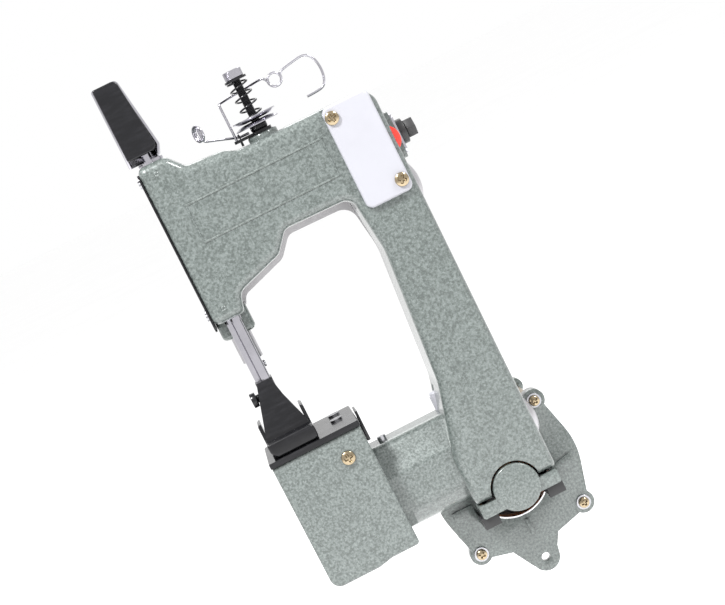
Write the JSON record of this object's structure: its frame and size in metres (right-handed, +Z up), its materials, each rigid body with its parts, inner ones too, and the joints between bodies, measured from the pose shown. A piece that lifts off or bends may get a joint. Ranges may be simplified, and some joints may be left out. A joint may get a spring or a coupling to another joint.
{
  "type": "bag closer sewing machine",
  "caption": "Hand-held motor-driven bag closer: C-shaped casting with needle head, presser foot, looper box, thread tension, switch and cross-mounted motor.",
  "frame": {"origin": "middle of the hand grip", "axes": "+Z up along the handle, +X from the needle to the back of the handle, +Y from the open side to the motor"},
  "size_m": [0.1549, 0.1242, 0.3475],
  "materials": {
    "hammertone_paint": "hammertone enamel on die-cast aluminium",
    "black_gloss": "gloss black",
    "black_steel": "blackened steel, gloss",
    "polished_steel": "polished",
    "brushed_steel": "ground",
    "bearing_steel": "ground",
    "brass_screws": "yellow zinc plate",
    "zinc_screws": "bright zinc plate",
    "white_plastic": "semi-gloss white",
    "red_plastic": "gloss red",
    "black_plastic": "matt black",
    "rubber_black": "matt",
    "bronze": "machined bronze",
    "laminations": "stacked sheet",
    "copper_windings": "varnished copper",
    "cover_metal": "smooth bare die-cast aluminium",
    "motor_paint": "enamel"
  },
  "bodies": {
    "root": {"frame_casting": "hammertone_paint", "frame_cover": "cover_metal", "face_plate": "black_steel", "needle_bar_guard": "polished_steel", "guard_cover": "black_gloss", "needle_bar_sleeve": "brushed_steel", "bar_bushes": "polished_steel", "needle_plate": "black_steel", "needle_plate_screws": "zinc_screws", "looper_box_cover": "hammertone_paint", "pan_head_screws": "brass_screws", "small_screws": "zinc_screws", "shaft_bearings": "bearing_steel", "handle_caps": "brushed_steel", "oil_cup": "white_plastic", "thread_cutter": "black_steel", "motor_end_bell": "hammertone_paint", "bearing_bridge": "hammertone_paint", "motor_bearings": "bearing_steel", "motor_housing": "motor_paint", "motor_screws": "brass_screws", "stator": "laminations", "motor_rear_cover": "black_plastic", "brush_holders": "black_plastic", "timing_belt": "rubber_black", "presser_spring": "brushed_steel", "switch_cover": "white_plastic", "switch_body": "black_plastic", "gland_plate": "polished_steel", "gland_body": "black_plastic", "gland_nut": "black_plastic", "tension_post": "black_steel", "tension_discs": "polished_steel", "tension_spring": "black_steel", "thread_bracket": "black_steel", "tall_thread_guide": "polished_steel", "eyelet_thread_guide": "polished_steel"},
    "rotor": {"rotor_shaft": "brushed_steel", "armature": "copper_windings", "fan": "black_plastic"},
    "lower_drive": {"lower_shaft": "brushed_steel", "worm_wheel": "bronze", "lower_pulley": "brushed_steel"},
    "upper_drive": {"upper_shaft": "brushed_steel", "upper_pulley": "brushed_steel", "crank_disc": "brushed_steel"},
    "needle_bar_body": {"needle_bar": "polished_steel", "needle": "polished_steel", "needle_clamp_screw": "zinc_screws"},
    "rod": {"connecting_rod": "brushed_steel"},
    "presser": {"presser_bars": "polished_steel", "presser_foot": "black_steel", "presser_foot_screw": "black_steel"},
    "feed": {"feed_dog": "brushed_steel", "feed_bar": "brushed_steel"},
    "looper_body": {"looper_shaft": "brushed_steel", "looper": "polished_steel"},
    "switch_rocker": {"rocker": "red_plastic"},
    "tension_cap": {"spring_cap": "black_steel"},
    "tension_knob": {"tension_nut": "polished_steel"}
  },
  "joints": [
    {"name": "rotor_spin", "type": "hinge", "parent": "root", "child": "rotor", "pos_m": [-0.0083, 0.04, -0.1115], "axis": [0, 1, 0], "continuous": true},
    {"name": "lower_shaft_spin", "type": "hinge", "parent": "root", "child": "lower_drive", "pos_m": [-0.045, -0.0055, -0.095], "axis": [1, 0, 0], "continuous": true},
    {"name": "upper_shaft_spin", "type": "hinge", "parent": "root", "child": "upper_drive", "pos_m": [-0.045, 0.0005, 0.098], "axis": [1, 0, 0], "continuous": true},
    {"name": "needle_bar_slide", "type": "slide", "parent": "root", "child": "needle_bar_body", "axis": [0, 0, 1], "range_m": [-0.022, 0]},
    {"name": "connecting_rod_swing", "type": "hinge", "parent": "needle_bar_body", "child": "rod", "pos_m": [-0.0965, 0.0005, 0.079], "axis": [1, 0, 0], "range_deg": [-22, 22]},
    {"name": "presser_foot_lift", "type": "slide", "parent": "root", "child": "presser", "axis": [0, 0, 1], "range_m": [0, 0.008], "stiffness_N_per_m": 900, "springref_m": -0.01, "deforming": ["presser_spring"]},
    {"name": "feed_stroke", "type": "slide", "parent": "root", "child": "feed", "axis": [0, 1, 0], "range_m": [-0.0025, 0.0025]},
    {"name": "looper_swing", "type": "hinge", "parent": "root", "child": "looper_body", "pos_m": [-0.09, 0.014, -0.088], "axis": [1, 0, 0], "range_deg": [-10, 10]},
    {"name": "rocker_tip", "type": "hinge", "parent": "root", "child": "switch_rocker", "pos_m": [0.011, -0.0142, 0.0853], "axis": [0, 1, 0], "range_deg": [-8, 8]},
    {"name": "tension_cap_feed", "type": "slide", "parent": "root", "child": "tension_cap", "axis": [0, 0, 1], "range_m": [-0.0033, 0], "deforming": ["tension_spring"]},
    {"name": "tension_nut_turn", "type": "hinge", "parent": "tension_cap", "child": "tension_knob", "pos_m": [-0.045, 0, 0.151], "axis": [0, 0, 1], "range_deg": [-1440, 0]}
  ],
  "couplings": [
    {"joint": "lower_shaft_spin", "follows": "rotor_spin", "ratio": 0.11111},
    {"joint": "upper_shaft_spin", "follows": "rotor_spin", "ratio": 0.11111}
  ]
}
